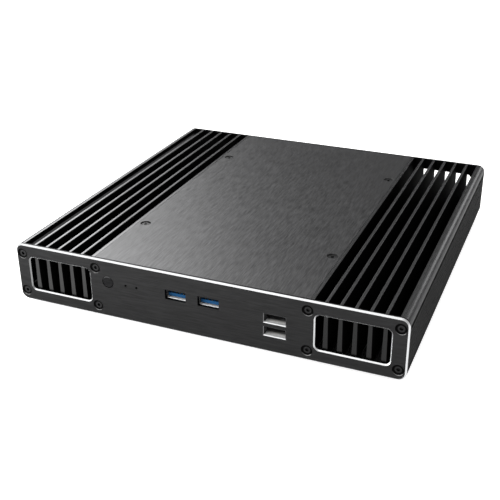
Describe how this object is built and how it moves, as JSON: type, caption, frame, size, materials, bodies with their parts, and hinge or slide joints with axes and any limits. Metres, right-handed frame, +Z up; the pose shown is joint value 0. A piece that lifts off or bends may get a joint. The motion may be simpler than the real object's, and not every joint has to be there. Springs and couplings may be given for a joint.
{
  "type": "mini pc",
  "caption": "Low square fanless mini computer in black anodised aluminium, finned heatsinks along both sides, bevelled front panel with grilles, power button and USB sockets.",
  "frame": {"origin": "on the floor under the middle of the case", "axes": "+X to the right seen from the front, +Y to the rear, +Z up"},
  "size_m": [0.2476, 0.244, 0.0415],
  "materials": {
    "black_anodised": "brushed, black anodised, bevels bright",
    "black_screw": "black oxide",
    "zinc_screw": "zinc plated",
    "black_rubber": "matt",
    "button_metal": "satin black",
    "board_green": "solder-masked laminate",
    "brass_post": "turned",
    "socket_shell": "nickel plated",
    "blue_plastic": "moulded",
    "black_plastic": "moulded",
    "clear_pipe": "clear acrylic",
    "lamp_white": "moulded",
    "bare_aluminium": "milled",
    "chip": "silicon on laminate",
    "grey_pad": "soft",
    "drive_shell": "moulded",
    "steel_cell": "plain",
    "cable_black": "sheathed",
    "choke_grey": "pressed ferrite"
  },
  "bodies": {
    "case": {"aerial_hole_plugs": "black_rubber", "block_screws": "zinc_screw", "board_screws": "zinc_screw", "bottom_cover": "black_anodised", "bottom_cover_screws": "black_screw", "button_board": "board_green", "button_board_posts": "brass_post", "cable_headers": "black_plastic", "capacitors": "bare_aluminium", "card_screws": "zinc_screw", "card_sockets": "black_plastic", "coin_cell": "steel_cell", "coin_cell_holder": "black_plastic", "drive_cable": "cable_black", "drive_screws": "black_screw", "foot_screws": "black_screw", "front_panel": "black_anodised", "front_panel_screws": "black_screw", "front_usb2_shell": "socket_shell", "front_usb2_tongues": "black_plastic", "front_usb3_shells": "socket_shell", "front_usb3_tongues": "blue_plastic", "left_heatsink": "black_anodised", "light_pipes": "clear_pipe", "main_board": "board_green", "main_board_posts": "brass_post", "memory_modules": "board_green", "memory_sockets": "black_plastic", "power_chokes": "choke_grey", "power_switch_housing": "black_plastic", "processor": "chip", "processor_block": "bare_aluminium", "rear_network_jack": "socket_shell", "rear_panel": "black_anodised", "rear_panel_screws": "black_screw", "rear_power_jack": "black_plastic", "rear_power_pin": "zinc_screw", "rear_usb_shell": "socket_shell", "rear_usb_tongues": "blue_plastic", "rear_video_shells": "socket_shell", "rear_video_tongues": "black_plastic", "right_heatsink": "black_anodised", "rubber_feet": "black_rubber", "status_lamps": "lamp_white", "storage_card": "board_green", "storage_drive": "drive_shell", "switch_cable": "cable_black", "thermal_pads": "grey_pad", "top_cover": "black_anodised", "top_cover_screws": "black_screw", "usb2_board": "board_green", "usb2_board_posts": "brass_post", "usb2_cable": "cable_black", "usb3_board": "board_green", "usb3_board_posts": "brass_post", "usb3_cable": "cable_black", "wireless_card": "board_green"},
    "button": {"power_button": "button_metal"},
    "plunger": {"power_switch_plunger": "black_plastic"}
  },
  "joints": [
    {"name": "power_button_press", "type": "slide", "parent": "case", "child": "button", "axis": [0, 1, 0], "range_m": [0, 0.00035], "stiffness_N_per_m": 2000, "springref_m": -0.0002},
    {"name": "switch_plunger_slide", "type": "slide", "parent": "case", "child": "plunger", "axis": [0, 1, 0], "range_m": [0, 0.00035]}
  ],
  "couplings": [
    {"joint": "switch_plunger_slide", "follows": "power_button_press", "ratio": 1}
  ]
}
